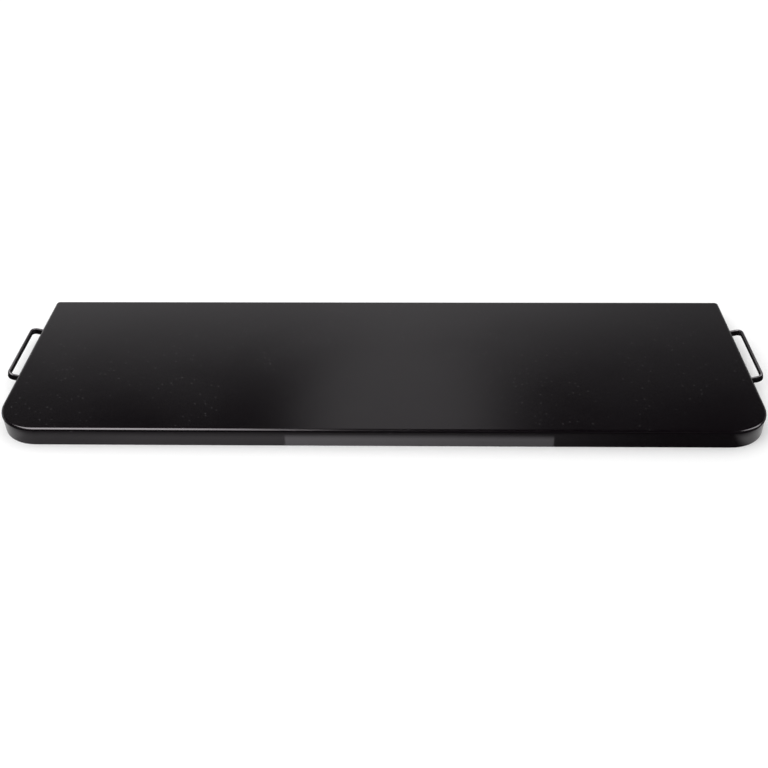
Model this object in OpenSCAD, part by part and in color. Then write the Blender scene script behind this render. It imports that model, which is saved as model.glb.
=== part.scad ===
// Flat top griddle: a steel plate with rolled edges on a welded skirt, three
// hat-section stiffeners under it, and a bent bar handle bolted to each side.
// Millimetres, +Z up, +X along the width, +Y to the back. The origin lies on
// the surface that the griddle stands on, under the middle of the plate.

/* [Plate] */
// Width of the plate, side to side
plate_w = 914; // [750:1:1200]
// Depth of the plate, front to back
plate_d = 281; // [240:1:600]
// Thickness of the plate
plate_t = 3.5; // [3.2:0.1:6]
// Radius of the two front corners, seen from above
front_r = 49; // [20:1:75]
// Radius of the two back corners, seen from above
back_r = 5; // [4.5:0.5:15]
// Rounding of the plate's upper edge
edge_r = 3; // [1:0.1:3.1]

/* [Skirt] */
// How far the skirt hangs below the plate
skirt_h = 20.5; // [19:0.5:45]
// Thickness of the skirt's strip
skirt_t = 2; // [1.5:0.1:3]
// How far the plate's edge stands out over the skirt
lip = 0.5; // [0.2:0.1:1.4]
// Length of the side strips' returns along the back, from each side
return_l = 24; // [18:1:80]
// From a front corner back to the seam between the front and side strips
seam_back = 12; // [8:1:30]

/* [Stiffeners] */
// Width across the outside of the hat section
hat_w = 26; // [16:1:40]
// Height of the hat section
hat_h = 12; // [9:0.5:15]
// Thickness of the hat section's sheet
hat_t = 1.5; // [1:0.1:2]
// Inside radius of the hat section's bends
hat_bend_r = 1.5; // [0.5:0.1:2]
// Flat width of each flange, where the spot welds are
flange_w = 12; // [8:1:20]
// Distance between neighbouring stiffeners
hat_pitch = 230; // [120:5:300]
// Gap between a stiffener's end and the skirt
hat_gap = 1; // [0.5:0.5:10]

/* [Handles] */
// Thickness of the handles' bar
bar_t = 3.5; // [3:0.1:4.5]
// Width of the bar, across its fully rounded edges
bar_w = 8.8; // [7:0.1:10]
// Distance between the two legs, centre to centre
leg_pitch = 104; // [80:1:130]
// How far the handles sit behind the middle of the plate
handle_back = 24; // [0:1:30]
// From the plate's edge out to the centre of the grip
reach = 16; // [14:1:50]
// Angle at which the handles rise from the skirt, in degrees
leg_rise = 15; // [0:1:20]
// Centre-line radius of the bends between legs and grip
grip_bend_r = 7; // [5:0.5:10]
// From the plate's underside down to the studs
stud_drop = 6.5; // [6:0.5:10]
// Diameter of the collar that seats on the skirt
collar_d = 10.5; // [10:0.5:11.5]
// Thickness of the collar
collar_t = 2; // [1.5:0.1:3]

/* [Fasteners] */
// Diameter of the studs that the bar ends in
stud_d = 5; // [4:0.5:5]
// Room round a stud in its hole in the skirt
hole_play = 0.5; // [0.2:0.1:1]
// Length of stud that shows past the nut
stud_end = 2.5; // [1:0.5:5]
// Outside diameter of the flat washers
washer_od = 10; // [9:0.5:13]
// Thickness of the flat washers
washer_t = 1; // [0.8:0.1:1.6]
// Outside diameter of the spring washers
spring_od = 9.2; // [8.2:0.2:10]
// Thickness of the spring washers
spring_t = 1.2; // [0.8:0.1:1.6]
// Width of the slit in a spring washer
spring_slit = 1; // [0.5:0.1:1.5]
// Room round a stud in a washer
washer_play = 0.3; // [0.1:0.1:0.6]
// Nut size across its flats
nut_af = 8; // [7.5:0.5:10]
// Thickness of the nuts
nut_t = 4; // [3:0.5:6]
// Room round a stud in a nut, where the threads mesh
thread_play = 0.1; // [0.05:0.05:0.15]
// Chamfer on stud tips, collars and nuts
chamfer = 0.6; // [0.2:0.1:0.9]

/* [Hidden] */

$fn = 96;

// Signs that choose a side, for the pieces that repeat
LEFT = -1;
RIGHT = 1;
FRONT = -1;
BACK = 1;

COATED_STEEL = [0.09, 0.09, 0.095];
ZINC = [0.62, 0.63, 0.65];

half_w = plate_w / 2;
half_d = plate_d / 2;

// Faces of the side strips that the handles and their fasteners seat on
skirt_out_x = half_w - lip;
skirt_in_x = skirt_out_x - skirt_t;

// Seam between the front strip and the side strips
seam_y = front_r - half_d + seam_back;

// The stack on each stud runs inwards from the skirt's inner face
spring_x = skirt_in_x - washer_t;
nut_x = spring_x - spring_t;
stud_tip_x = nut_x - nut_t - stud_end;

// Height of the studs above the skirt's lower rim
stud_z = skirt_h - stud_drop;

// The bar ends inside its collar, and its slope is measured from the skirt's face
bar_end_x = skirt_out_x + collar_t / 2;
slope_l = (half_w + reach - skirt_out_x) / cos(leg_rise);

// Something small, to carry a cut past the face that it opens
past = 1;

// ---- Plate ----

// The plate from its middle out to an edge, seen end on
module edge_profile(width) {
    square([width, plate_t - edge_r]);
    square([width - edge_r, plate_t]);
    translate([width - edge_r, plate_t - edge_r])
        intersection() {
            circle(edge_r);
            square(edge_r);
        }
}

// A straight run of plate with its edge on the side that turn points to,
// 0 being +X, and the run starting at the origin
module edge_run(width, length, turn) {
    rotate([0, 0, turn])
        rotate([90, 0, 0])
            linear_extrude(length)
                edge_profile(width);
}

// A quarter turn of plate edge round a corner of radius r
module edge_corner(r, turn) {
    rotate([0, 0, turn])
        rotate_extrude(angle = 90)
            edge_profile(r);
}

module top_plate() {
    side_l = plate_d - front_r - back_r;
    color(COATED_STEEL)
        translate([0, 0, skirt_h]) {
            translate([0, half_d - back_r])
                edge_run(half_w, side_l, 0);
            translate([0, front_r - half_d])
                edge_run(half_w, side_l, 180);
            translate([half_w - front_r, front_r - half_d])
                edge_run(front_r, plate_w - 2 * front_r, -90);
            translate([back_r - half_w, half_d - back_r])
                edge_run(back_r, plate_w - 2 * back_r, 90);
            translate([half_w - back_r, half_d - back_r])
                edge_corner(back_r, 0);
            translate([back_r - half_w, half_d - back_r])
                edge_corner(back_r, 90);
            translate([front_r - half_w, front_r - half_d])
                edge_corner(front_r, 180);
            translate([half_w - front_r, front_r - half_d])
                edge_corner(front_r, 270);
        }
}

// ---- Skirt ----

// The plate's outline, moved inwards by inset
module outline(inset) {
    w = half_w - inset;
    d = half_d - inset;
    fr = front_r - inset;
    br = back_r - inset;
    translate([-w, fr - d])
        square([2 * w, 2 * d - fr - br]);
    translate([fr - w, -d])
        square([2 * (w - fr), fr]);
    translate([br - w, d - br])
        square([2 * (w - br), br]);
    for (side = [LEFT, RIGHT]) {
        translate([side * (w - fr), fr - d])
            circle(fr);
        translate([side * (w - br), d - br])
            circle(br);
    }
}

// Half the gap between the side strips' returns, which the back strip fills
back_strip_w = skirt_out_x - return_l;

// The skirt seen from above, one strip running all the way round
module skirt_outline() {
    difference() {
        outline(lip);
        outline(lip + skirt_t);
    }
}

// The strip along the front, rolled round both front corners
module skirt_front() {
    color(COATED_STEEL)
        linear_extrude(skirt_h)
            intersection() {
                skirt_outline();
                translate([-half_w, -half_d])
                    square([plate_w, seam_y + half_d]);
            }
}

// The strip along one side, folded in at the back corner, with the stud holes
module skirt_side(side) {
    inner_x = side < 0 ? -half_w : back_strip_w;
    color(COATED_STEEL)
        difference() {
            linear_extrude(skirt_h)
                intersection() {
                    skirt_outline();
                    translate([inner_x, seam_y])
                        square([half_w - back_strip_w, half_d - seam_y]);
                }
            for (end = [FRONT, BACK])
                on_stud(side, end, skirt_in_x - past)
                    cylinder(h = skirt_t + 2 * past, d = stud_d + hole_play);
        }
}

// The strip that closes the back, butt-welded between the returns
module skirt_back() {
    color(COATED_STEEL)
        translate([-back_strip_w, half_d - lip - skirt_t, 0])
            cube([2 * back_strip_w, skirt_t, skirt_h]);
}

// ---- Stiffeners ----

// A quarter of a ring, the bend in a folded sheet
module bend(r, t, turn) {
    rotate(turn)
        intersection() {
            difference() {
                circle(r + t);
                circle(r);
            }
            square(r + t);
        }
}

// Folded sheet seen end on. Each run is [straight length, turn after it], a
// turn being 1 to the left, -1 to the right or 0 at the end of the sheet.
module folded(runs, t, r, i = 0) {
    length = runs[i][0];
    turn = runs[i][1];
    square([length, t]);
    if (turn > 0) {
        translate([length, t + r])
            bend(r, t, -90);
        translate([length + r + t, t + r])
            rotate(90)
                folded(runs, t, r, i + 1);
    }
    if (turn < 0) {
        translate([length, -r])
            bend(r, t, 0);
        translate([length + r, -r])
            rotate(-90)
                folded(runs, t, r, i + 1);
    }
}

// One hat section, centred on x, spot-welded to the plate by its flanges
module stiffener(x) {
    web = hat_h - 2 * (hat_t + hat_bend_r);
    crown = hat_w - 2 * (hat_t + hat_bend_r);
    across = hat_w + 2 * (flange_w + hat_bend_r);
    length = plate_d - 2 * (lip + skirt_t + hat_gap);
    cope = hat_h - hat_t;
    color(COATED_STEEL)
        translate([x, length / 2, skirt_h])
            difference() {
                translate([-across / 2, 0, -hat_t])
                    rotate([90, 0, 0])
                        linear_extrude(length)
                            folded([[flange_w, -1], [web, 1], [crown, 1], [web, -1], [flange_w, 0]],
                                   hat_t, hat_bend_r);
                // The hat is cut back at 45 degrees at both ends, up to its flanges
                for (end = [0, 1])
                    translate([0, -end * length, -hat_t])
                        mirror([0, end, 0])
                            rotate([90, 0, 90])
                                translate([0, 0, -hat_w])
                                    linear_extrude(2 * hat_w)
                                        polygon([[past, past], [past, -cope - past],
                                                 [-cope - past, -cope - past]]);
            }
}

// ---- Handles ----

// Stands a piece on a stud's axis, on the plane at x, pointing outwards
module on_stud(side, end, x) {
    mirror([side < 0 ? 1 : 0, 0, 0])
        translate([x, handle_back + end * leg_pitch / 2, stud_z])
            rotate([0, 90, 0])
                children();
}

// Stud and collar, turned about the leg's axis from the tip outwards
module bar_stud() {
    tip_r = stud_d / 2;
    collar_r = collar_d / 2;
    stud_l = skirt_out_x - stud_tip_x;
    rim_z = stud_l + collar_t;
    rotate_extrude()
        polygon([
            [0, 0], [tip_r - chamfer, 0], [tip_r, chamfer], [tip_r, stud_l],
            [collar_r, stud_l], [collar_r, rim_z - chamfer], [collar_r - chamfer, rim_z], [0, rim_z]
        ]);
}

// The bar seen end on, standing on its edge
module bar_section() {
    flat = bar_w - bar_t;
    translate([-bar_t / 2, -flat / 2])
        square([bar_t, flat]);
    for (end = [-1, 1])
        translate([0, end * flat / 2])
            circle(d = bar_t);
}

// Half the bar, drawn level from a leg at the origin to mid-grip
module half_bar() {
    straight = slope_l - grip_bend_r;
    translate([-bar_w, 0, 0])
        rotate([90, 0, 90])
            linear_extrude(bar_w + straight)
                bar_section();
    translate([straight, grip_bend_r, 0])
        rotate([0, 0, -90])
            rotate_extrude(angle = 90)
                translate([grip_bend_r, 0])
                    bar_section();
    translate([slope_l, grip_bend_r, 0])
        rotate([-90, 0, 0])
            linear_extrude(leg_pitch / 2 - grip_bend_r)
                bar_section();
}

// Half a right-hand handle, from the stud on its front leg to mid-grip
module half_handle() {
    on_stud(RIGHT, FRONT, stud_tip_x)
        bar_stud();
    difference() {
        translate([skirt_out_x, handle_back - leg_pitch / 2, stud_z])
            rotate([0, -leg_rise, 0])
                half_bar();
        translate([bar_end_x - 2 * bar_w, handle_back - leg_pitch / 2 - bar_w, stud_z - 2 * bar_w])
            cube([2 * bar_w, 2 * bar_w, 4 * bar_w]);
    }
}

module handle(side) {
    color(COATED_STEEL)
        mirror([side < 0 ? 1 : 0, 0, 0]) {
            half_handle();
            translate([0, 2 * handle_back, 0])
                mirror([0, 1, 0])
                    half_handle();
        }
}

// ---- Fasteners ----

module washer(side, end) {
    color(ZINC)
        on_stud(side, end, skirt_in_x - washer_t)
            difference() {
                cylinder(h = washer_t, d = washer_od);
                translate([0, 0, -past])
                    cylinder(h = washer_t + 2 * past, d = stud_d + washer_play);
            }
}

module spring_washer(side, end) {
    color(ZINC)
        on_stud(side, end, spring_x - spring_t)
            difference() {
                cylinder(h = spring_t, d = spring_od);
                translate([0, 0, -past])
                    cylinder(h = spring_t + 2 * past, d = stud_d + washer_play);
                translate([0, -spring_slit / 2, -past])
                    cube([spring_od, spring_slit, spring_t + 2 * past]);
            }
}

// A hexagon nut, its corners turned off at both faces
module nut(side, end) {
    corner_r = nut_af / sqrt(3);
    color(ZINC)
        on_stud(side, end, nut_x - nut_t)
            difference() {
                intersection() {
                    cylinder(h = nut_t, r = corner_r, $fn = 6);
                    rotate_extrude()
                        polygon([
                            [0, 0], [corner_r - chamfer, 0], [corner_r, chamfer],
                            [corner_r, nut_t - chamfer], [corner_r - chamfer, nut_t], [0, nut_t]
                        ]);
                }
                translate([0, 0, -past])
                    cylinder(h = nut_t + 2 * past, d = stud_d + thread_play);
            }
}

// ---- The part ----

top_plate();
skirt_front();
skirt_side(LEFT);  // skirt_left
skirt_side(RIGHT);  // skirt_right
skirt_back();
stiffener(-hat_pitch);  // stiffener_left
stiffener(0);  // stiffener_centre
stiffener(hat_pitch);  // stiffener_right
handle(LEFT);  // handle_left
handle(RIGHT);  // handle_right
washer(LEFT, FRONT);  // washer_left_front
washer(LEFT, BACK);  // washer_left_back
washer(RIGHT, FRONT);  // washer_right_front
washer(RIGHT, BACK);  // washer_right_back
spring_washer(LEFT, FRONT);  // spring_washer_left_front
spring_washer(LEFT, BACK);  // spring_washer_left_back
spring_washer(RIGHT, FRONT);  // spring_washer_right_front
spring_washer(RIGHT, BACK);  // spring_washer_right_back
nut(LEFT, FRONT);  // nut_left_front
nut(LEFT, BACK);  // nut_left_back
nut(RIGHT, FRONT);  // nut_right_front
nut(RIGHT, BACK);  // nut_right_back
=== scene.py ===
"""Looks of a flat top griddle: its finishes, welds and threads, the camera and a plain studio.

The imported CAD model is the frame. Everything is in metres, +X along the width, +Y to the back
and +Z up, with the origin on the floor under the middle of the plate.
"""

import logging
import math
from dataclasses import dataclass, field
from enum import Enum
from functools import reduce

import bpy
import numpy as np
from bpy.types import Material, Node, NodeSocket, NodeTree, Object
from mathutils import Matrix, Vector
from mathutils.bvhtree import BVHTree


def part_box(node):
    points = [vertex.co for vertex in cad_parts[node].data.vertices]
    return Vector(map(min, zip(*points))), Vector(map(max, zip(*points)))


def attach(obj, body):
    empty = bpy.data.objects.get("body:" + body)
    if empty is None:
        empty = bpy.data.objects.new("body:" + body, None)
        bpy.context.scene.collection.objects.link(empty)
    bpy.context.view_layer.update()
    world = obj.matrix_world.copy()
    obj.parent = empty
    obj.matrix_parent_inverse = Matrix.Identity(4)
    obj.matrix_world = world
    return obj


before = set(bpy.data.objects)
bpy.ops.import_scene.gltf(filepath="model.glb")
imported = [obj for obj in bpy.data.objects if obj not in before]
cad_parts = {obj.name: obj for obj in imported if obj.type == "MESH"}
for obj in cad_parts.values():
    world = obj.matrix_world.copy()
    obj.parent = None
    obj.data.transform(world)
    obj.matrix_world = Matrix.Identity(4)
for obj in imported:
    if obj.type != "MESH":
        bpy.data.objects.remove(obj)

log = logging.getLogger("griddle")

MM = 0.001
IMAGE_SIZE = 768
BODY = "root"
TURN = 2 * math.pi

Colour = tuple[float, float, float]
Place = tuple[float, float, float]
Pair = tuple[float, float]
Shape = tuple[np.ndarray, np.ndarray, np.ndarray]
"""A closed shape: its points, its faces of four corners, and those of three."""


class Side(Enum):
    """Which end of the griddle a piece belongs to, as the sign of its X."""

    LEFT = -1
    RIGHT = 1

    @property
    def word(self) -> str:
        """Its word in the names of pieces."""
        return self.name.lower()


class Leg(Enum):
    """Which leg of a handle a piece belongs to."""

    FRONT = "front"
    BACK = "back"


# ---- Image points ----


@dataclass(frozen=True)
class ImagePoint:
    """A place in the photograph, and how the same place is found on the finished pieces.

    Args:
        x: Pixels from the left, or None where only the height is known.
        y: Pixels from the top, or None where only the place across is known.
        nodes: The pieces that it lies on; all of them where empty.
        towards: The direction in the image in which no vertex that shows lies further, or None for a
            mark on the finish, which is placed on its piece by a ray through the point.
    """

    x: float | None
    y: float | None
    nodes: tuple[str, ...]
    towards: Pair | None


POINTS: dict[str, ImagePoint] = {
    "object_left": ImagePoint(2.3, 410.5, (), (-1, 0)),
    "object_right": ImagePoint(765.7, 413.5, (), (1, 0)),
    "object_top": ImagePoint(None, 301.6, (), (0, -1)),
    "object_bottom": ImagePoint(None, 447.5, (), (0, 1)),
    "back_left_corner": ImagePoint(58.2, 302.3, ("top_plate",), (-0.7, -1)),
    "back_right_corner": ImagePoint(716.5, 303.4, ("top_plate",), (0.7, -1)),
    "front_left_corner": ImagePoint(10.4, 436.0, ("skirt_front",), (-1, 1)),
    "front_right_corner": ImagePoint(757.2, 438.6, ("skirt_front",), (1, 1)),
    "left_handle_outer": ImagePoint(8.8, 374.5, ("handle_left",), (-1, 0)),
    "left_handle_top": ImagePoint(34.5, 329.2, ("handle_left",), (0, -1)),
    "right_handle_outer": ImagePoint(761.4, 374.5, ("handle_right",), (1, 0)),
    "right_handle_top": ImagePoint(737.5, 329.1, ("handle_right",), (0, -1)),
    "band_left_end": ImagePoint(285.0, 440.5, ("skirt_front",), None),
    "band_right_end": ImagePoint(554.0, 441.0, ("skirt_front",), None),
}


# ---- Meshes ----


def closed_loft(rings: np.ndarray) -> Shape:
    """A closed shape over a grid of rings: point (u, v) is rings[u, v], and a fan closes each end.

    Each fan meets in a pole, the middle of its ring. All faces are turned round where the volume in
    them is negative, which is the sum of a . ((b - a) x (c - a)) over their triangles a, b, c.

    Args:
        rings: Array of shape (rows, columns, 3).

    Returns:
        The shape, whose faces point outwards.
    """
    rows, columns = rings.shape[:2]
    row, column = np.meshgrid(np.arange(rows - 1), np.arange(columns), indexing="ij")
    here = row * columns + column
    beside = row * columns + (column + 1) % columns
    quads = np.stack([here, beside, beside + columns, here + columns], axis=-1).reshape(-1, 4)
    first = np.arange(columns)
    after = (first + 1) % columns
    last = (rows - 1) * columns
    pole = np.full(columns, rows * columns)
    fans = np.concatenate([np.stack([after, first, pole], axis=-1),
                           np.stack([last + first, last + after, pole + 1], axis=-1)])
    poles = np.stack([rings[0].mean(axis=0), rings[-1].mean(axis=0)])
    points = np.concatenate([rings.reshape(-1, 3), poles])
    a, b, c = points[np.concatenate([quads[:, :3], quads[:, [0, 2, 3]], fans])].transpose(1, 0, 2)
    if (np.cross(b - a, c - a) * a).sum() < 0:
        quads, fans = quads[:, ::-1], fans[:, ::-1]
    return points, quads, fans


def add_mesh(name: str, points: np.ndarray, faces: list[list[int]], material: Material) -> Object:
    """A new mesh in the scene, its object at the origin.

    Args:
        name: Name of the object.
        points: Its vertices, one row each.
        faces: The vertex numbers of each face.
        material: Its finish.

    Returns:
        The object.
    """
    mesh = bpy.data.meshes.new(name)
    mesh.from_pydata(points.tolist(), [], faces)
    mesh.materials.append(material)
    mesh.update()
    made = bpy.data.objects.new(name, mesh)
    bpy.context.scene.collection.objects.link(made)
    return made


def make_piece(name: str, shapes: list[Shape], material: Material) -> None:
    """Joins closed shapes in one smooth, coated mesh, which rides on the griddle.

    Args:
        name: Name of the piece.
        shapes: The shapes, in the frame's metres.
        material: Finish of the piece, a coat.
    """
    faces, offset = [], 0
    for points, quads, fans in shapes:
        faces += (quads + offset).tolist() + (fans + offset).tolist()
        offset += len(points)
    piece = add_mesh(name, np.concatenate([shape[0] for shape in shapes]), faces, material)
    piece.data.polygons.foreach_set("use_smooth", np.ones(len(faces), bool))
    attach(piece, BODY)
    log.info("%s: %d shapes, %d faces", name, len(shapes), len(faces))


def surface_of(node: str) -> tuple[np.ndarray, np.ndarray]:
    """The surface of a CAD node.

    Args:
        node: Name of the node.

    Returns:
        Its vertices, one row each, and the vertex numbers of its triangles.
    """
    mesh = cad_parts[node].data
    mesh.calc_loop_triangles()
    places = np.zeros(len(mesh.vertices) * 3, np.float32)
    mesh.vertices.foreach_get("co", places)
    corners = np.zeros(len(mesh.loop_triangles) * 3, np.int32)
    mesh.loop_triangles.foreach_get("vertices", corners)
    return places.reshape(-1, 3).astype(float), corners.reshape(-1, 3)


def middle_of(node: str) -> tuple[float, ...]:
    """The middle of a CAD node's box."""
    return tuple((low + high) / 2 for low, high in zip(*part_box(node), strict=True))


def dress(node: str, material: Material) -> None:
    """Gives a CAD node its finish.

    Args:
        node: Name of the node.
        material: The finish.
    """
    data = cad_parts[node].data
    data.materials.clear()
    data.materials.append(material)
    log.info("%s dressed in %s", node, material.name)


# ---- Shader helpers ----


@dataclass
class Graph:
    """Adds nodes to one node tree and links them.

    Args:
        tree: The node tree of a material, a world or a group.
    """

    tree: NodeTree

    def feed(self, node: Node, inputs: dict[int | str, object]) -> None:
        """Links outputs to a node's inputs, or writes plain values on them.

        Args:
            node: The node.
            inputs: An output or a value for each input's name or number.
        """
        for socket, source in inputs.items():
            if isinstance(source, NodeSocket):
                self.tree.links.new(source, node.inputs[socket])
            else:
                node.inputs[socket].default_value = source

    def add(self, kind: str, inputs: dict[int | str, object] | None = None, **settings: object) -> Node:
        """Adds a node.

        Args:
            kind: The node's type name.
            inputs: What its inputs are fed.
            settings: Its properties.

        Returns:
            The node.
        """
        node = self.tree.nodes.new(kind)
        for key, value in settings.items():
            setattr(node, key, value)
        self.feed(node, inputs or {})
        return node

    def math(self, operation: str, a: object, b: object = 0.0) -> NodeSocket:
        """One step of arithmetic on values or outputs."""
        return self.add("ShaderNodeMath", {0: a, 1: b}, operation=operation).outputs[0]

    def product(self, *factors: object) -> NodeSocket:
        """The product of values or outputs."""
        return reduce(lambda a, b: self.math("MULTIPLY", a, b), factors)

    def largest(self, *values: object) -> NodeSocket:
        """The largest of values or outputs."""
        return reduce(lambda a, b: self.math("MAXIMUM", a, b), values)

    def ramp(self, value: object, start: float, end: float,
             low: float = 0.0, high: float = 1.0) -> NodeSocket:
        """A smooth step from low to high while value goes from start to end."""
        inputs = dict(enumerate((value, start, end, low, high)))
        return self.add("ShaderNodeMapRange", inputs, interpolation_type="SMOOTHSTEP").outputs[0]

    def mix(self, share: object, first: object, second: object) -> NodeSocket:
        """Blends two colours.

        Args:
            share: Share of the second, from 0 to 1.
            first: The first colour, as an output or three linear numbers.
            second: The second colour.

        Returns:
            The colour.
        """
        colours = [c if isinstance(c, NodeSocket) else (*c, 1.0) for c in (first, second)]
        inputs = {0: share, 6: colours[0], 7: colours[1]}
        return self.add("ShaderNodeMix", inputs, data_type="RGBA").outputs[2]

    def xyz(self, vector: NodeSocket) -> tuple[NodeSocket, ...]:
        """The three parts of a vector."""
        return tuple(self.add("ShaderNodeSeparateXYZ", {0: vector}).outputs)

    def noise(self, vector: object, cells: object, detail: float, roughness: float) -> NodeSocket:
        """Smooth random values from 0 to 1, so many cells to the metre, with finer layers in them."""
        inputs = {"Vector": vector, "Scale": cells, "Detail": detail, "Roughness": roughness}
        return self.add("ShaderNodeTexNoise", inputs).outputs[0]

    def bump(self, height: NodeSocket, depth_mm: float, strength: float) -> NodeSocket:
        """The normal of a surface whose relief is so many millimetres deep."""
        inputs = {"Height": height, "Distance": depth_mm * MM, "Strength": strength}
        return self.add("ShaderNodeBump", inputs).outputs[0]


def new_material(name: str) -> tuple[Material, Graph, Node]:
    """Adds a material.

    Args:
        name: Its name.

    Returns:
        The material, its graph and its shader.
    """
    made = bpy.data.materials.new(name)
    made.use_nodes = True
    return made, Graph(made.node_tree), made.node_tree.nodes["Principled BSDF"]


def grey(level: float) -> tuple[float, float, float, float]:
    """A grey for a colour socket."""
    return level, level, level, 1.0


# ---- Finishes ----


GRAIN_LAYERS: Pair = (2.0, 0.6)
"""How many finer layers the grain has, and how strong they are."""
RIPPLE_LAYERS: Pair = (1.0, 0.5)
"""The same for the ripples."""
TONE_LAYERS: Pair = (3.0, 0.5)
"""The same for the slow changes of tone."""
TONE_CELLS = 9.0
"""Cells per metre of the slow changes of tone."""
TONE_SPAN: Pair = (0.3, 0.7)
"""The values of tone between which the roughness goes from its lowest to its highest."""
GLINT_GRAINS: Pair = (0.60, 0.74)
# The values of grain between which a painted glint appears on it.
"""The values of grain between which it becomes a bright speck."""
GLINT_SHARE = 0.22
# How far a grain's painted glint covers the coat's colour.
"""How far a bright grain's colour covers the coat's."""
NIB_PATCHES: Pair = (0.40, 0.54)
"""The values of tone between which nibs appear."""
NIB_RADIUS = 0.16
"""Radius of a nib, as a share of the distance between nibs."""
NIB_GLINT_SHARE = 0.55
# How far the painted glint on a nib's top covers the coat's colour.
"""How far the pale top of a nib covers the coat's colour."""


def powder_group() -> NodeTree:
    """The surface of baked powder: fine grain over long, low ripples, a few nibs, and painted glints.

    A nib is a grain of dust baked in under the powder, a low, round bump with a painted glint on its
    top. Nibs lie in patches. Grains past a threshold also get a painted glint.

    Returns:
        A group of Vector, Grain, Ripple and Nib cells per metre, Ripple Share and Nib Height, that
        puts out Height, Tone and Speck, the mask of the painted glints.
    """
    group = bpy.data.node_groups.new("baked_powder", "ShaderNodeTree")
    face = group.interface
    face.new_socket(name="Vector", in_out="INPUT", socket_type="NodeSocketVector")
    for name in ("Grain", "Ripple", "Ripple Share", "Nib", "Nib Height"):
        face.new_socket(name=name, in_out="INPUT", socket_type="NodeSocketFloat")
    for name in ("Height", "Tone", "Speck"):
        face.new_socket(name=name, in_out="OUTPUT", socket_type="NodeSocketFloat")
    graph = Graph(group)
    given = graph.add("NodeGroupInput").outputs
    place = given["Vector"]
    grain = graph.noise(place, given["Grain"], *GRAIN_LAYERS)
    ripple = graph.noise(place, given["Ripple"], *RIPPLE_LAYERS)
    tone = graph.noise(place, TONE_CELLS, *TONE_LAYERS)
    rippled = graph.product(ripple, given["Ripple Share"])
    grained = graph.product(grain, graph.math("SUBTRACT", 1.0, given["Ripple Share"]))
    nib = graph.add("ShaderNodeTexVoronoi", {"Vector": place, "Scale": given["Nib"]}, feature="F1")
    near = graph.ramp(nib.outputs["Distance"], 0.0, NIB_RADIUS, 1.0, 0.0)
    round_top = graph.product(near, graph.ramp(tone, *NIB_PATCHES))
    height = graph.math("ADD", grained, rippled)
    height = graph.math("ADD", height, graph.product(round_top, given["Nib Height"]))
    # Painted glint: grains past a threshold, and the nibs' tops, turn pale in the base colour
    grain_glint = graph.ramp(grain, *GLINT_GRAINS, 0.0, GLINT_SHARE)
    speck = graph.largest(grain_glint, graph.product(round_top, NIB_GLINT_SHARE))
    graph.add("NodeGroupOutput", {"Height": height, "Tone": tone, "Speck": speck})
    return group


@dataclass(frozen=True)
class PowderCoat:
    """Black powder coat baked on steel, with the skirt's values where none are given.

    Args:
        name: Name of the material.
        colour: Base colour, linear.
        roughness: Roughness between the grains.
        spread: How far the roughness wanders across the surface.
        grain_mm: Size of the grain.
        ripple_mm: Length of the ripples.
        ripple_share: Share of the relief that is ripple.
        relief_mm: Depth of the relief.
        strength: Strength of the bump.
        speck: Colour of the painted glints on grains and nib tops.
        specular: The shader's specular level.
        nib_mm: Distance between nibs.
        nib_height: Height of a nib, as a share of the relief.
        tint: Tint of the gloss, linear.
    """

    name: str
    colour: Colour = (0.0020, 0.0011, 0.0019)
    roughness: float = 0.2
    spread: float = 0.02
    grain_mm: float = 0.9
    ripple_mm: float = 6.0
    ripple_share: float = 0.35
    relief_mm: float = 0.05
    strength: float = 0.35
    # Painted glint: a pale colour laid on grains and nib tops in place of their highlights
    speck: Colour = (0.030, 0.028, 0.0298)
    specular: float = 0.5
    nib_mm: float = 8.0
    nib_height: float = 6.0
    tint: Colour = (1.0, 0.94, 0.98)

    def material(self, powder: NodeTree) -> Material:
        """Builds the material.

        Args:
            powder: The shared group of powder_group().

        Returns:
            The material.
        """
        made, graph, shader = new_material(self.name)
        place = graph.add("ShaderNodeTexCoord").outputs["Object"]
        surface = graph.add("ShaderNodeGroup", node_tree=powder)
        graph.feed(surface, {
            "Vector": place,
            "Grain": 1.0 / (self.grain_mm * MM),
            "Ripple": 1.0 / (self.ripple_mm * MM),
            "Ripple Share": self.ripple_share,
            "Nib": 1.0 / (self.nib_mm * MM),
            "Nib Height": self.nib_height,
        })
        low, high = self.roughness - self.spread, self.roughness + self.spread
        graph.feed(shader, {
            # The base colour carries the painted glints on grains and nib tops
            "Base Color": self.base_colour(graph, place, surface.outputs["Speck"]),
            "Roughness": graph.ramp(surface.outputs["Tone"], *TONE_SPAN, low, high),
            "Normal": graph.bump(surface.outputs["Height"], self.relief_mm, self.strength),
            "Specular IOR Level": self.specular,
            "Specular Tint": (*self.tint, 1.0),
        })
        return made

    def base_colour(self, graph: Graph, place: NodeSocket, speck: NodeSocket) -> NodeSocket:
        """Black, with a painted glint on grains and nib tops, where the speck mask says."""
        return graph.mix(speck, self.colour, self.speck)


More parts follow.
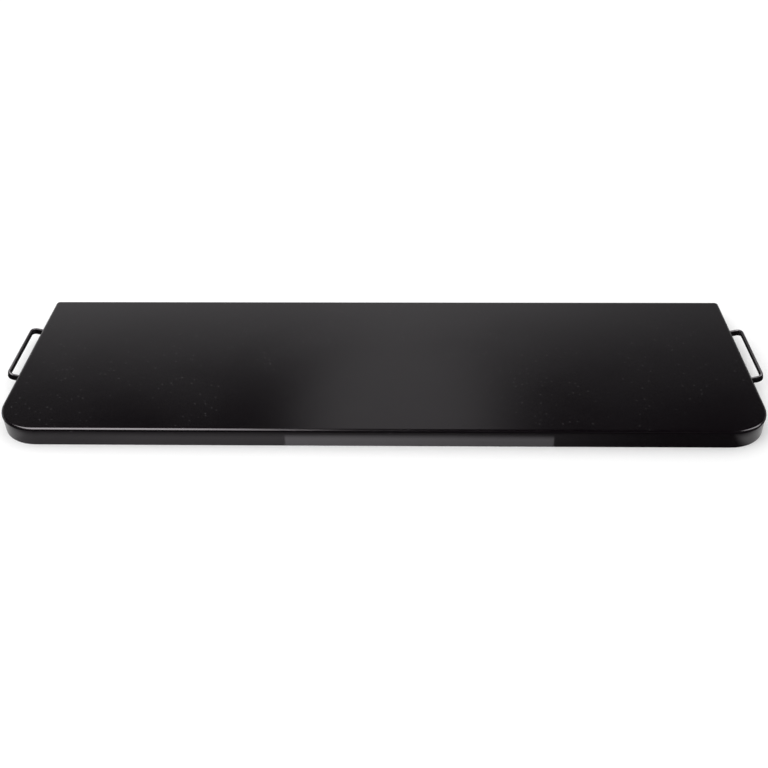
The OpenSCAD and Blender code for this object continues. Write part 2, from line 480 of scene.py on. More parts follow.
@dataclass(frozen=True)
class BandedPowderCoat(PowderCoat):
    """Powder coat with a plain grey band printed along its front face, where a name could stand.

    Args:
        band: Colour of the print, linear.
        band_ends: The X at which it starts and ends.
        band_end_soft: Half the width of its fading ends.
        band_top: The two Z between which it fades out upwards.
        band_face: The two Y between which it stops, just behind the front face.
    """

    band: Colour = (0.052, 0.0495, 0.0525)
    band_ends: Pair = (0.0, 0.0)
    band_end_soft: float = 1.5 * MM
    band_top: Pair = (10 * MM, 18.5 * MM)
    band_face: Pair = (0.0, 0.0)

    def base_colour(self, graph: Graph, place: NodeSocket, speck: NodeSocket) -> NodeSocket:
        """The coat's own colour, and the print's inside the band.

        Args:
            graph: The material's nodes.
            place: Object coordinates.
            speck: The group's mask of painted glints.

        Returns:
            The colour.
        """
        x, y, z = graph.xyz(place)
        left, right = self.band_ends
        soft = self.band_end_soft
        mask = graph.product(graph.ramp(x, left - soft, left + soft),
                             graph.ramp(x, right - soft, right + soft, 1.0, 0.0),
                             graph.ramp(z, *self.band_top, 1.0, 0.0),
                             graph.ramp(y, *self.band_face, 1.0, 0.0))
        return graph.mix(mask, super().base_colour(graph, place, speck), self.band)


@dataclass(frozen=True)
class ZincPlate:
    """Bright zinc on small steel parts, a little cloudy.

    Args:
        name: Name of the material.
        pale: Colour of the bright crystals, linear.
        dull: Colour of the cloudy ones.
        roughness: Roughness of the bright crystals and of the cloudy ones.
        cell_mm: Size of the clouds.
        grains: How many grains of relief fit in a cloud.
        cloud_layers: How many finer layers the clouds have, and how strong they are.
        grain_layers: The same for the grains.
        edge: The values of the clouds' noise between which bright turns to cloudy.
        relief_mm: Depth of the relief.
        strength: Strength of the bump.
    """

    name: str
    pale: Colour
    dull: Colour
    roughness: Pair
    cell_mm: float
    grains: float = 8.0
    cloud_layers: Pair = (4.0, 0.6)
    grain_layers: Pair = (2.0, 0.6)
    edge: Pair = (0.35, 0.65)
    relief_mm: float = 0.05
    strength: float = 0.4

    def material(self) -> Material:
        """Builds the material.

        Returns:
            The material.
        """
        made, graph, shader = new_material(self.name)
        place = graph.add("ShaderNodeTexCoord").outputs["Object"]
        cloud = graph.noise(place, 1.0 / (self.cell_mm * MM), *self.cloud_layers)
        fine = graph.noise(place, self.grains / (self.cell_mm * MM), *self.grain_layers)
        graph.feed(shader, {
            "Base Color": graph.mix(graph.ramp(cloud, *self.edge), self.pale, self.dull),
            "Metallic": 1.0,
            "Roughness": graph.ramp(cloud, *self.edge, *self.roughness),
            "Normal": graph.bump(fine, self.relief_mm, self.strength),
        })
        return made


@dataclass
class Finishes:
    """Every finish of the griddle, built once.

    Args:
        band_ends: Where the band printed on the front strip starts and ends.
        band_back: Distances behind the front face between which the print stops.
    """

    band_ends: tuple[Vector, Vector]
    band_back: Pair = (0.2 * MM, 0.5 * MM)
    plate: Material = field(init=False)
    skirt: Material = field(init=False)
    skirt_front: Material = field(init=False)
    bar: Material = field(init=False)
    stiffener: Material = field(init=False)
    weld: Material = field(init=False)
    zinc: Material = field(init=False)

    def __post_init__(self) -> None:
        """Builds the materials, all the coats on one shared group."""
        left, right = self.band_ends
        coats = {
            "plate": PowderCoat("plate_powder_coat", roughness=0.16, spread=0.015, ripple_mm=7.0),
            "skirt": PowderCoat("skirt_powder_coat"),
            "skirt_front": BandedPowderCoat(
                "front_skirt_powder_coat", band_ends=(left.x, right.x),
                band_face=tuple(left.y + back for back in self.band_back)),
            "bar": PowderCoat(
                "handle_powder_coat", (0.0035, 0.0030, 0.0034), roughness=0.18,
                grain_mm=0.7, ripple_mm=3.0, ripple_share=0.4, relief_mm=0.03, strength=0.3),
            "stiffener": PowderCoat(
                "stiffener_powder_coat", (0.007, 0.007, 0.0072), roughness=0.32, spread=0.04,
                grain_mm=1.0, ripple_share=0.4, relief_mm=0.06, strength=0.5),
            "weld": PowderCoat(
                "weld_powder_coat", (0.008, 0.008, 0.008), roughness=0.28, spread=0.04,
                grain_mm=0.6, ripple_mm=2.0, ripple_share=0.5, relief_mm=0.08, strength=0.6),
        }
        powder = powder_group()
        for use, coat in coats.items():
            setattr(self, use, coat.material(powder))
        self.zinc = ZincPlate("zinc_plate_finish", pale=(0.62, 0.63, 0.65), dull=(0.42, 0.43, 0.45),
                              roughness=(0.24, 0.42), cell_mm=1.6).material()


# ---- Sub-assemblies ----


@dataclass
class WeldRun:
    """A short weld laid in the corner between two faces.

    Args:
        centre: Middle of the run, on the corner's line.
        along: Unit vector along the corner.
        length: Length of the run.
        radius: Radius of the bead.
        ripple: Distance between the bead's ripples.
        dip: Depth of a ripple, as a share of the radius.
        rows: Number of rings along the run.
        columns: Number of points in a ring.
        reach: Share of the run that the rings take; the poles close the rest.
        askew: A direction parallel to no corner, which sets where each ring starts.
    """

    centre: Place
    along: Place
    length: float
    radius: float
    ripple: float = 1.6 * MM
    dip: float = 0.07
    rows: int = 45
    columns: int = 14
    reach: float = 0.999
    askew: Place = (0.3, 0.5, 0.81)

    def shape(self) -> Shape:
        """The bead: a round bar whose radius dips between ripples and runs out at both ends.

        The radius at u, from -1 to 1 along the run, is R * sqrt(1 - u^6) * (1 + dip cos(2 pi s / p)),
        with s the distance along the run and p the ripples' spacing.

        Returns:
            The bead.
        """
        u = np.linspace(-self.reach, self.reach, self.rows)
        s = u * self.length / 2
        size = self.radius * np.sqrt(1 - u ** 6) * (1 + self.dip * np.cos(TURN * s / self.ripple))
        v = np.arange(self.columns) * TURN / self.columns
        along = np.array(self.along)
        across = np.cross(along, self.askew)
        across = across / np.linalg.norm(across)
        ring = np.cos(v)[:, None] * across + np.sin(v)[:, None] * np.cross(along, across)
        return closed_loft(self.centre + s[:, None, None] * along + size[:, None, None] * ring)


@dataclass
class PlateAndSkirt:
    """The plate, the four strips of skirt below it, and the welds that hold them.

    Args:
        finishes: The finishes to use.
        bead: Radius of the weld beads.
        stitch: Length of one stitch of weld.
        clear: Room kept between a stitch and a stiffener or a bolt.
        corner_room: Room kept at both ends for the skirt's front corners.
        spacing: Distance between stitches, in stitches.
        butt_length: Length of an upright bead, as a share of the skirt's height.
        butt_bead: Its radius, as a share of a stitch's.
    """

    finishes: Finishes
    bead: float = 1.7 * MM
    stitch: float = 26 * MM
    clear: float = 12 * MM
    corner_room: float = 50 * MM
    spacing: float = 2.6
    butt_length: float = 0.96
    butt_bead: float = 0.8

    def __post_init__(self) -> None:
        """Reads the skirt's inner faces from the frame."""
        _, self.front_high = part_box("skirt_front")
        self.strip_low, self.strip_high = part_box("skirt_back")
        wall = self.strip_high.y - self.strip_low.y
        self.under_z = self.front_high.z
        self.inner_x = self.front_high.x - wall
        self.inner_y = self.strip_high.y - wall

    def build(self) -> None:
        """Dresses the plate and the strips and lays the welds."""
        dress("top_plate", self.finishes.plate)
        dress("skirt_front", self.finishes.skirt_front)
        for place in ("left", "right", "back"):
            dress(f"skirt_{place}", self.finishes.skirt)
        make_piece("plate_welds", self.plate_stitches(), self.finishes.weld)
        make_piece("skirt_butt_welds", self.butt_welds(), self.finishes.weld)

    def bays(self) -> list[Pair]:
        """The stretches of X between stiffeners where a stitch has room.

        Returns:
            Low and high X of each stretch.
        """
        hats = [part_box(f"stiffener_{which}") for which in ("left", "centre", "right")]
        edge = self.inner_x - self.corner_room
        starts = [-edge] + [high.x + self.clear for _, high in hats]
        ends = [low.x - self.clear for low, _ in hats] + [edge]
        return list(zip(starts, ends, strict=True))

    def plate_stitches(self) -> list[Shape]:
        """Stitches of weld along the front, the back and both sides.

        Returns:
            Shapes of all the stitches.
        """
        runs = []
        for low, high in self.bays():
            count = max(2, round((high - low) / (self.spacing * self.stitch)))
            for x in np.linspace(low + self.stitch / 2, high - self.stitch / 2, count):
                runs += [((x, y, self.under_z), (1.0, 0, 0)) for y in (-self.inner_y, self.inner_y)]
        for x in (-self.inner_x, self.inner_x):
            runs += [((x, y, self.under_z), (0, 1.0, 0)) for y in self.side_places()]
        return [WeldRun(centre, along, self.stitch, self.bead).shape() for centre, along in runs]

    def side_places(self) -> list[float]:
        """Places of the stitches along a side: one between the handle's bolts and one beyond each.

        Returns:
            Y of each stitch.
        """
        front, back = (middle_of(f"nut_left_{leg.value}")[1] for leg in Leg)
        reach = self.stitch / 2 + self.clear
        return [front - reach, (front + back) / 2, back + reach]

    def butt_welds(self) -> list[Shape]:
        """One upright bead inside each of the four joints between the skirt's strips.

        Returns:
            Shapes of the beads.
        """
        seams = [(x, self.inner_y) for x in (self.strip_low.x, self.strip_high.x)]
        seams += [(x, self.front_high.y) for x in (-self.inner_x, self.inner_x)]
        length, bead = self.under_z * self.butt_length, self.bead * self.butt_bead
        return [WeldRun((x, y, self.under_z / 2), (0, 0, 1.0), length, bead).shape() for x, y in seams]


@dataclass
class Stiffeners:
    """The three hat sections and the spot welds in their flanges.

    Args:
        finishes: The finishes to use.
        pitch: Distance between spot welds along a flange.
        radius: Radius of a spot weld's mark.
        dent: Depth of the mark.
        flange: Width of a stiffener's flange.
        sheet: Thickness of its sheet.
        sunk: How far a mark's upper side lies inside the flange.
        rings: Number of rings in a mark, from its middle to its rim.
        points: Number of points in a ring.
        inner: Radius of the first ring, as a share of the mark's.
        rest: Depth at the mark's middle, as a share of its deepest.
    """

    finishes: Finishes
    pitch: float = 30 * MM
    radius: float = 3.1 * MM
    dent: float = 0.35 * MM
    flange: float = 12 * MM
    sheet: float = 1.5 * MM
    sunk: float = 0.3 * MM
    rings: int = 7
    points: int = 18
    inner: float = 0.06
    rest: float = 0.25

    def build(self) -> None:
        """Dresses the stiffeners and presses the spot welds."""
        shapes = []
        for which in ("left", "centre", "right"):
            node = f"stiffener_{which}"
            dress(node, self.finishes.stiffener)
            shapes += self.spots(node)
        make_piece("spot_welds", shapes, self.finishes.weld)

    def spots(self, node: str) -> list[Shape]:
        """The spot welds of one stiffener.

        Args:
            node: The stiffener's CAD node.

        Returns:
            Shapes of its spot welds.
        """
        low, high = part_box(node)
        count = int((high.y - low.y - self.pitch) / self.pitch) + 1
        rows = (np.arange(count) - (count - 1) / 2) * self.pitch + middle_of(node)[1]
        columns = (low.x + self.flange / 2, high.x - self.flange / 2)
        return [self.spot(x, y, high.z - self.sheet) for x in columns for y in rows]

    def spot(self, x: float, y: float, z: float) -> Shape:
        """A spot weld seen from below: a low rim round a shallow dish.

        Turned about the upright axis, its depth below the flange at r, from 0 to 1 of the radius,
        is dent * (rest + (1 - rest) sin(pi r^2)), and none at the rim itself. Its upper side lies flat
        inside the flange.

        Args:
            x: Place across.
            y: Place from front to back.
            z: Height of the flange's lower face.

        Returns:
            The mark.
        """
        r = np.linspace(self.inner, 1.0, self.rings)
        depth = self.dent * (self.rest + (1 - self.rest) * np.sin(math.pi * r ** 2))
        depth[-1] = 0.0
        angle = np.arange(self.points) * TURN / self.points
        out = np.concatenate([r, r[::-1]])[:, None] * self.radius
        height = np.concatenate([z - depth, np.full(self.rings, z + self.sunk)])[:, None]
        height = np.repeat(height, self.points, axis=1)
        return closed_loft(np.stack([x + out * np.cos(angle), y + out * np.sin(angle), height], axis=-1))


@dataclass
class Handle:
    """One handle of bent flat bar, its fasteners and the threads that show on its studs.

    Args:
        side: Which end of the griddle it is on.
        finishes: The finishes to use.
        stud_radius: Radius of the stud under the thread.
        thread_pitch: Distance between turns of thread.
        thread_height: How far a crest stands out of the stud.
        thread_root: How far the thread reaches into the stud.
        tip_clear: Length of the stud's tip that has no thread.
        thread_half: Half the width of a ridge, as a share of the pitch.
        thread_steps: Number of sections in a turn.
        thread_end: Least height of the ridge at its ends, as a share of its height.
    """

    side: Side
    finishes: Finishes
    stud_radius: float = 2.5 * MM
    thread_pitch: float = 0.8 * MM
    thread_height: float = 0.14 * MM
    thread_root: float = 0.1 * MM
    tip_clear: float = 0.6 * MM
    thread_half: float = 0.21
    thread_steps: int = 36
    thread_end: float = 0.02

    def build(self) -> None:
        """Dresses the bar and its fasteners, and cuts the threads."""
        where = self.side.word
        dress(f"handle_{where}", self.finishes.bar)
        for leg in Leg:
            for kind in ("washer", "spring_washer", "nut"):
                dress(f"{kind}_{where}_{leg.value}", self.finishes.zinc)
            make_piece(f"stud_thread_{where}_{leg.value}", [self.thread(leg)], self.finishes.bar)

    def thread(self, leg: Leg) -> Shape:
        """The ridge of thread on the bare end of a stud.

        Its crest follows a helix: at angle a the distance along the stud is p * a / (2 pi), and its
        section is a low triangle whose height fades to nothing over the first and last quarter turn.

        Args:
            leg: The leg whose stud is threaded.

        Returns:
            The ridge.
        """
        nut, bar = f"nut_{self.side.word}_{leg.value}", f"handle_{self.side.word}"
        _, centre_y, centre_z = middle_of(nut)
        start, tip = (min(abs(corner.x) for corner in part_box(node)) for node in (nut, bar))
        turns = (start - tip - self.tip_clear) / self.thread_pitch
        a = np.linspace(0, turns * TURN, int(turns * self.thread_steps))
        fade = np.clip(np.minimum(a, a[-1] - a) / (TURN / 4), self.thread_end, 1)
        half = self.thread_pitch * self.thread_half
        section_x = np.array([-half, half, half, 0.0, -half])
        section_root = np.array([-1.0, -1.0, 0.0, 0.0, 0.0]) * self.thread_root
        section_crest = np.array([0.0, 0.0, 0.0, 1.0, 0.0]) * self.thread_height
        along = (start - self.thread_pitch * a / TURN)[:, None] + section_x
        radial = self.stud_radius + section_root + section_crest * fade[:, None]
        rings = [along * self.side.value, centre_y + radial * np.cos(a)[:, None],
                 centre_z + radial * np.sin(a)[:, None]]
        return closed_loft(np.stack(rings, axis=-1))


# ---- Camera ----


@dataclass(frozen=True)
class PhotoCamera:
    """The photograph's view, with level, named settings.

    Args:
        place: Where the camera stands.
        pitch: How far it looks down, in degrees.
        turn: How far it turns to the left, in degrees.
        roll: How far it leans, in degrees.
        lens: Focal length in millimetres.
        sensor: Width of the sensor in millimetres.
        far: How far it sees.
    """

    place: Place = (0.0325, -1.0393, 0.7612)
    pitch: float = 36.69
    turn: float = 1.71
    roll: float = -0.83
    lens: float = 46.97
    sensor: float = 36.0
    far: float = 50.0

    def axes(self) -> np.ndarray:
        """The camera's own axes.

        Returns:
            Its right, up and back directions, one row each.
        """
        pitch, turn, roll = np.radians([self.pitch, self.turn, self.roll])
        level = np.array([math.cos(turn), math.sin(turn), 0.0])
        ahead = np.array([-level[1] * math.cos(pitch), level[0] * math.cos(pitch), -math.sin(pitch)])
        upright = np.cross(level, ahead)
        right = math.cos(roll) * level + math.sin(roll) * upright
        up = math.cos(roll) * upright - math.sin(roll) * level
        return np.stack([right, up, -ahead])

    def build(self) -> None:
        """Makes the camera and gives it to the scene."""
        data = bpy.data.cameras.new("photo_camera")
        data.sensor_fit = "AUTO"
        data.sensor_width = self.sensor
        data.lens = self.lens
        data.clip_end = self.far
        camera = bpy.data.objects.new("photo_camera", data)
        matrix = Matrix(self.axes().T.tolist()).to_4x4()
        matrix.translation = Vector(self.place)
        camera.matrix_world = matrix
        bpy.context.scene.collection.objects.link(camera)
        bpy.context.scene.camera = camera

    def project(self, points: np.ndarray) -> np.ndarray:
        """Where points fall in the image, in pixels from its upper left corner.

        Args:
            points: Places in the frame, one row each.

        Returns:
            Their x and y, one row each.
        """
        seen = (points - np.array(self.place)) @ self.axes().T
        half, scale = IMAGE_SIZE / 2, IMAGE_SIZE * self.lens / self.sensor / -seen[:, 2]
        return np.stack([half + seen[:, 0] * scale, half - seen[:, 1] * scale], axis=1)

    def meet(self, node: str, point: ImagePoint) -> Vector:
        """The place on a CAD node that shows at an image point.

        A ray leaves the camera along (x - W/2, H/2 - y, -W * lens / sensor) in its own axes.

        Args:
            node: Name of the node.
            point: The image point.

        Returns:
            Where the ray meets the node, or the node's vertex nearest to the ray where it misses.
        """
        half, deep = IMAGE_SIZE / 2, IMAGE_SIZE * self.lens / self.sensor
        ray = np.array([point.x - half, half - point.y, -deep]) @ self.axes()
        ray = ray / np.linalg.norm(ray)
        places, corners = surface_of(node)
        tree = BVHTree.FromPolygons(places.tolist(), corners.tolist())
        hit, *_ = tree.ray_cast(Vector(self.place), Vector(ray.tolist()))
        if hit is not None:
            return hit
        aside = np.linalg.norm(np.cross(places - np.array(self.place), ray), axis=1)
        return Vector(places[aside.argmin()].tolist())


@dataclass
class PointCheck:
    """Finds where each image point's place on the finished pieces falls in the image.

    Args:
        camera: The photograph's view.
        slack: How far behind the first hit a vertex may lie and still show.
    """

    camera: PhotoCamera
    slack: float = 0.4 * MM

    def __post_init__(self) -> None:
        """Gathers the vertices of every piece and a tree of their faces."""
        self.places: dict[str, np.ndarray] = {}
        corners, offset = [], 0
        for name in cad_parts:
            self.places[name], own = surface_of(name)
            corners.append(own + offset)
            offset += len(self.places[name])
        places = np.concatenate(list(self.places.values()))
        self.tree = BVHTree.FromPolygons(places.tolist(), np.concatenate(corners).tolist())

    def shows(self, place: np.ndarray) -> bool:
        """Whether the camera sees a place.

        Args:
            place: A vertex of the finished pieces.

        Returns:
            True where no piece hides it.
        """
        eye = Vector(self.camera.place)
        ray = Vector(place.tolist()) - eye
        *_, distance = self.tree.ray_cast(eye, ray.normalized())
        return distance is None or distance > ray.length - self.slack

    def furthest(self, names: tuple[str, ...], towards: Pair) -> np.ndarray:
        """The image place of the vertex that shows and lies furthest in a direction.

        Args:
            names: Pieces to look at, or none for all.
            towards: Direction in the image.

        Returns:
            Its x and y.
        """
        places = np.concatenate([self.places[n] for n in (names or tuple(self.places))])
        image = self.camera.project(places)
        order = np.argsort(-(image @ np.array(towards, float)))
        for index in order:
            if self.shows(places[index]):
                return image[index]
        return image[order[0]]

    def write(self) -> None:
        """Finds where every point's place on the finished pieces falls in the image, and keeps none of
        it.
        """
        for name, point in POINTS.items():
            if point.towards is None:
                x, y = self.camera.project(np.array([self.camera.meet(point.nodes[0], point)]))[0]
            else:
                x, y = self.furthest(point.nodes, point.towards)


# ---- Studio ----


@dataclass(frozen=True)
class SoftPanel:
    """A soft light high in the studio, as the gloss of the coating shows it.

    Its place is given on a level ceiling one unit above the griddle.

    Args:
        across: The X of its left and right edges.
        deep: The Y of its front and back edges.
        soft: Width of its fading edge.
        level: How bright it is, 1 being white.
    """

    across: Pair
    deep: Pair
    soft: float
    level: float

    def shade(self, graph: Graph, x: NodeSocket, y: NodeSocket) -> NodeSocket:
        """Its light in a direction: its level inside its edges, and 0 outside.

        Args:
            graph: The world's nodes.
            x: Where the direction meets the ceiling, to the right.
            y: Where it meets the ceiling, to the back.

        Returns:
            The light.
        """
        light = self.level
        for place, (low, high) in ((x, self.across), (y, self.deep)):
            light = graph.product(light, graph.ramp(place, low - self.soft, low),
                                  graph.ramp(place, high, high + self.soft, 1.0, 0.0))
        return light


@dataclass(frozen=True)
class BlackFlag:
    """A black cloth on the floor round the front and both ends, which only reflections show.

    Its cover is 0 where the floor stays white and 1 where the cloth hides it. It grows with the distance
    from the skirt, and to both sides along the front.

    Args:
        low: Its lowest X and Y.
        high: Its highest X and Y.
        lift: Its height over the floor.
        tone: Its colour.
        corner: Radius of the plate's front corners.
        gap: Distances from the plate's edge between which the cover grows along the front.
        left: The two X between which it fades from the left.
        left_cover: The cover at the first of them.
        left_end: The two X between which that part begins, past the corner.
        right: The two X between which it grows to the right.
        right_cover: The cover at those two X.
        right_end: The two X between which that part ends, before the corner.
        ends: The two Y between which it closes up to the plate at both ends, under the handles.
        end_gap: Distances from the plate's ends between which it grows there.
        back: The two Y between which it fades out.
    """

    low: Pair = (-1.5, -3.0)
    high: Pair = (1.5, 0.3)
    lift: float = 0.2 * MM
    tone: float = 0.01
    corner: float = 49 * MM
    gap: Pair = (11 * MM, 27 * MM)
    left: Pair = (-0.42, -0.2)
    left_cover: float = 0.32
    left_end: Pair = (-0.446, -0.43)
    right: Pair = (-0.15, 0.36)
    right_cover: Pair = (0.12, 0.95)
    right_end: Pair = (0.418, 0.438)
    ends: Pair = (-0.09, -0.06)
    end_gap: Pair = (0.0, 2 * MM)
    back: Pair = (0.1, 0.3)

    def away(self, graph: Graph, x: NodeSocket, y: NodeSocket) -> NodeSocket:
        """Distance from the plate's outline: sqrt(over_x^2 + over_y^2) less the corner's radius.

        Args:
            graph: The flag's nodes.
            x: Place across.
            y: Place from front to back.

        Returns:
            The distance, which is negative under the plate.
        """
        low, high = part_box("top_plate")
        side = graph.math("SUBTRACT", graph.math("ABSOLUTE", x), high.x - self.corner)
        front = graph.math("SUBTRACT", low.y + self.corner, y)
        squares = [graph.math("POWER", graph.largest(over, 0.0), 2.0) for over in (side, front)]
        return graph.math("SUBTRACT", graph.math("SQRT", graph.math("ADD", *squares)), self.corner)

    def cover(self, graph: Graph) -> NodeSocket:
        """How much of the floor the cloth hides.

        Args:
            graph: The flag's nodes.

        Returns:
            The cover, from 0 to 1.
        """
        x, y, _ = graph.xyz(graph.add("ShaderNodeTexCoord").outputs["Object"])
        away = self.away(graph, x, y)
        left = graph.product(graph.ramp(x, *self.left, self.left_cover, 0.0),
                             graph.ramp(x, *self.left_end))
        right = graph.product(graph.ramp(x, *self.right, *self.right_cover),
                              graph.ramp(x, *self.right_end, 1.0, 0.0))
        ends = graph.product(graph.ramp(y, *self.ends), graph.ramp(away, *self.end_gap))
        whole = graph.largest(graph.ramp(away, *self.gap), left, right, ends)
        return graph.product(whole, graph.ramp(y, *self.back, 1.0, 0.0))

    def material(self) -> Material:
        """Black cloth that is clear where it doesn't cover.

        Returns:
            The material.
        """
        made, graph, _ = new_material("black_flag")
        black = graph.add("ShaderNodeBsdfDiffuse", {"Color": grey(self.tone)}).outputs[0]
        clear = graph.add("ShaderNodeBsdfTransparent").outputs[0]
        cloth = graph.add("ShaderNodeMixShader", {0: self.cover(graph), 1: clear, 2: black}).outputs[0]
        graph.feed(made.node_tree.nodes["Material Output"], {"Surface": cloth})
        return made


@dataclass(frozen=True)
class Studio:
    """A pale floor, an even white surround, and what the coating's gloss shows of the studio.

    Args:
        floor_half: Half the floor's width.
        floor_tone: The floor's colour.
        surround: Level of the light that falls on matt surfaces from all round.
        dark: Level of the studio's ceiling in reflections.
        front_share: How much of the wall's light comes from in front.
        wall_fade: Heights, as rise over distance, between which the white wall fades into the ceiling.
        wall_turn: How far the wall bends round at the ends, 1 being a round room and 0 a straight wall.
        wall_behind: The Y of a direction between which it turns from the front wall to the one behind.
        dim_side: Where the wall behind the griddle turns darker to the right, as X over Y.
        dim_share: How much of its light is left there.
        disc_place: Degrees to the right and up at which the round panel behind stands.
        disc_edge: Degrees from its middle between which it fades out.
        disc_level: Its level.
        ceiling: The panels overhead.
        flag: The black cloth on the floor.
        left_lamp: Place of the lamp overhead on the left.
        left_lamp_aim: Where it points on the plate, as a share of its own X.
        left_lamp_size: Its width and depth.
        left_lamp_level: Its level.
        handle_lamp_height: Height of the lamp over each handle.
        handle_lamp_back: How far behind the handle's middle it hangs.
        handle_lamp_size: Its width and depth.
        handle_lamp_level: Its level.
        least_distance: Least distance on the floor that a rise is measured over.
        least_height: Least height of a direction that is carried on to the ceiling.
    """

    floor_half: float = 6.0
    floor_tone: float = 0.97
    surround: float = 1.05
    dark: float = 0.009
    front_share: float = 0.12
    wall_fade: Pair = (0.50, 0.79)
    wall_turn: float = 0.4
    wall_behind: Pair = (-0.1, 0.35)
    dim_side: Pair = (0.06, 0.38)
    dim_share: float = 0.42
    disc_place: Pair = (-0.6, 39.7)
    disc_edge: Pair = (4.2, 6.9)
    disc_level: float = 0.68
    ceiling: tuple[SoftPanel, ...] = (
        SoftPanel((-0.7, -0.27), (-1.2, 0.35), 0.2, 8.0),
        SoftPanel((0.65, 2.8), (-0.1, 0.35), 0.2, 6.0),
    )
    flag: BlackFlag = BlackFlag()
    left_lamp: Place = (-0.9, -0.5, 1.6)
    left_lamp_aim: float = 0.3
    left_lamp_size: Pair = (1.2, 0.8)
    left_lamp_level: float = 2.0
    handle_lamp_height: float = 0.35
    handle_lamp_back: float = 0.08
    handle_lamp_size: Pair = (0.5, 0.6)
    handle_lamp_level: float = 4.0
    least_distance: float = 0.01
    least_height: float = 0.02

    def build(self) -> None:
        """Lays the floor and the flag, hangs the lamps and makes the world."""
        self.floor()
        self.lay_flag()
        aim = (self.left_lamp[0] * self.left_lamp_aim, 0.0, 0.0)
        self.lamp("overhead_left", self.left_lamp, aim, self.left_lamp_size, self.left_lamp_level)
        self.handle_lamps()
        self.world()

    def sheet(self, name: str, low: Pair, high: Pair, z: float, material: Material) -> Object:
        """A level rectangle of the studio.

        Args:
            name: Its name.
            low: Its lowest X and Y.
            high: Its highest X and Y.
            z: Its height.
            material: Its material.

        Returns:
            The object.
        """
        (x0, y0), (x1, y1) = low, high
        corners = np.array([(x0, y0, z), (x1, y0, z), (x1, y1, z), (x0, y1, z)])
        sheet = add_mesh(name, corners, [[0, 1, 2, 3]], material)
        return sheet

    def floor(self) -> None:
        """A plain pale floor."""
        made, graph, shader = new_material("pale_floor")
        looks = {"Base Color": grey(self.floor_tone), "Roughness": 1.0, "Specular IOR Level": 0.0}
        graph.feed(shader, looks)
        half = self.floor_half
        self.sheet("floor", (-half, -half), (half, half), 0.0, made)

    def lay_flag(self) -> None:
        """Lays the black flag where only reflections find it."""
        flag = self.sheet("flag", self.flag.low, self.flag.high, self.flag.lift, self.flag.material())
        flag.visible_camera = False
        flag.visible_diffuse = False
        flag.visible_shadow = False

    def lamp(self, name: str, place: Place, target: Place, size: Pair, level: float) -> Object:
        """A rectangular soft lamp.

        Args:
            name: Name of the lamp.
            place: Where it hangs.
            target: The point that it faces.
            size: Its width and depth.
            level: How bright its face is, 1 being white.

        Returns:
            The lamp.
        """
        data = bpy.data.lights.new(name, "AREA")
        data.shape = "RECTANGLE"
        data.size, data.size_y = size
        data.energy = level * math.pi * size[0] * size[1]
        lamp = bpy.data.objects.new(name, data)
        aim = Vector(target) - Vector(place)
        lamp.matrix_world = Matrix.Translation(place) @ aim.to_track_quat("-Z", "Y").to_matrix().to_4x4()
        bpy.context.scene.collection.objects.link(lamp)
        return lamp

    def handle_lamps(self) -> None:
        """A soft lamp over each handle, which lights nothing but the handles."""
        handles = bpy.data.collections.new("handles")
        for side in Side:
            handles.objects.link(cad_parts[f"handle_{side.word}"])
            x, y, _ = middle_of(f"handle_{side.word}")
            y += self.handle_lamp_back
            lamp = self.lamp(f"over_{side.word}_handle", (x, y, self.handle_lamp_height), (x, y, 0.0),
                             self.handle_lamp_size, self.handle_lamp_level)
            lamp.light_linking.receiver_collection = handles

    def world(self) -> None:
        """White to the camera, even on matt surfaces, and the studio's wall and panels in reflections."""
        world = bpy.data.worlds.new("studio")
        bpy.context.scene.world = world
        world.use_nodes = True
        graph = Graph(world.node_tree)
        direction = graph.add("ShaderNodeTexCoord").outputs["Generated"]
        path = graph.add("ShaderNodeLightPath").outputs
        gloss, camera = path["Is Glossy Ray"], path["Is Camera Ray"]
        matt = graph.product(graph.math("SUBTRACT", 1.0, gloss), self.surround)
        shown = graph.math("ADD", graph.product(self.reflected(graph, direction), gloss), matt)
        kept = graph.product(shown, graph.math("SUBTRACT", 1.0, camera))
        level = graph.math("ADD", kept, camera)
        graph.feed(world.node_tree.nodes["Background"], {"Strength": level, "Color": grey(1.0)})

    def disc(self, graph: Graph, direction: NodeSocket) -> NodeSocket:
        """The round panel behind the griddle.

        Args:
            graph: The world's nodes.
            direction: Where a reflection looks.

        Returns:
            Its light in that direction.
        """
        turn, height, inner, outer = (math.radians(angle) for angle in self.disc_place + self.disc_edge)
        middle = (math.sin(turn) * math.cos(height), math.cos(turn) * math.cos(height), math.sin(height))
        dot = graph.add("ShaderNodeVectorMath", {0: direction, 1: middle}, operation="DOT_PRODUCT")
        return graph.ramp(dot.outputs["Value"], math.cos(outer), math.cos(inner), 0.0, self.disc_level)

    def reflected(self, graph: Graph, direction: NodeSocket) -> NodeSocket:
        """The studio as the coating's gloss shows it.

        Args:
            graph: The world's nodes.
            direction: Where a reflection looks.

        Returns:
            The light that comes from that direction.
        """
        x, y, z = graph.xyz(direction)
        dim = graph.ramp(graph.math("DIVIDE", x, y), *self.dim_side, 1.0, self.dim_share)
        behind = graph.product(dim, graph.ramp(y, *self.wall_behind), 1.0 - self.front_share)
        share = graph.math("ADD", behind, self.front_share)
        turned = graph.product(x, self.wall_turn)
        squares = graph.math("ADD", graph.product(y, y), graph.product(turned, turned))
        distance = graph.math("SQRT", squares)
        rise = graph.math("DIVIDE", z, graph.largest(distance, self.least_distance))
        wall = graph.product(graph.ramp(rise, *self.wall_fade, 1.0, 0.0), share)
        total = graph.largest(wall, self.disc(graph, direction), self.dark)
        height = graph.largest(z, self.least_height)
        across = graph.math("DIVIDE", x, height)
        deep = graph.math("DIVIDE", y, height)
        for panel in self.ceiling:
            total = graph.math("ADD", total, panel.shade(graph, across, deep))
        return total


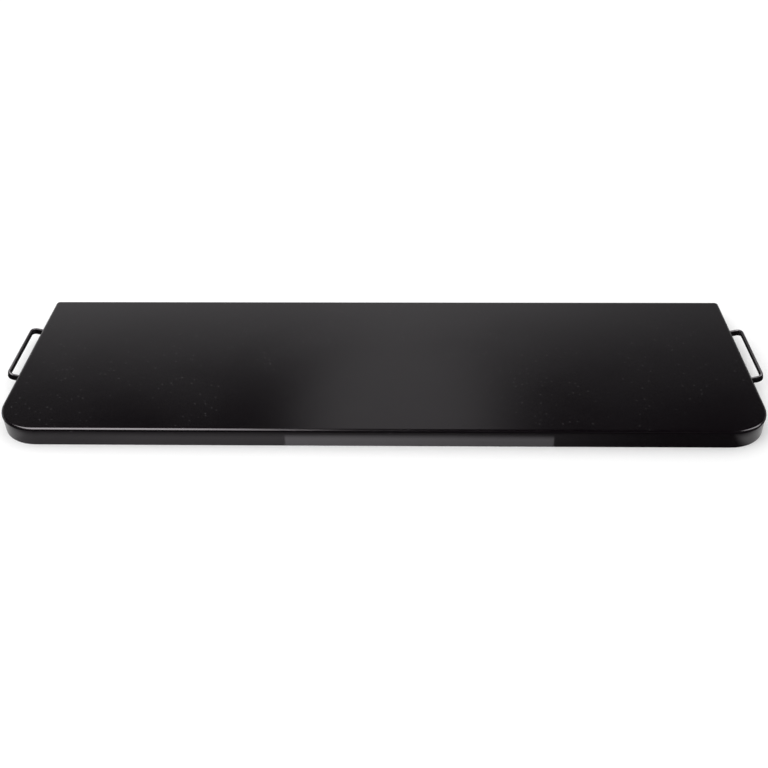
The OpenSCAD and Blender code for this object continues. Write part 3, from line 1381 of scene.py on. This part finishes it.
def main() -> None:
    """Builds the looks in order."""
    logging.basicConfig(level=logging.INFO, format="%(name)s: %(message)s")
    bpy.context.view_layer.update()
    bpy.context.scene.view_settings.view_transform = "Standard"
    camera = PhotoCamera()
    camera.build()
    Studio().build()
    ends = tuple(camera.meet("skirt_front", POINTS[f"band_{side.word}_end"]) for side in Side)
    finishes = Finishes(ends)
    PlateAndSkirt(finishes).build()
    Stiffeners(finishes).build()
    for side in Side:
        Handle(side, finishes).build()
    PointCheck(camera).write()


if __name__ == "__main__":
    main()
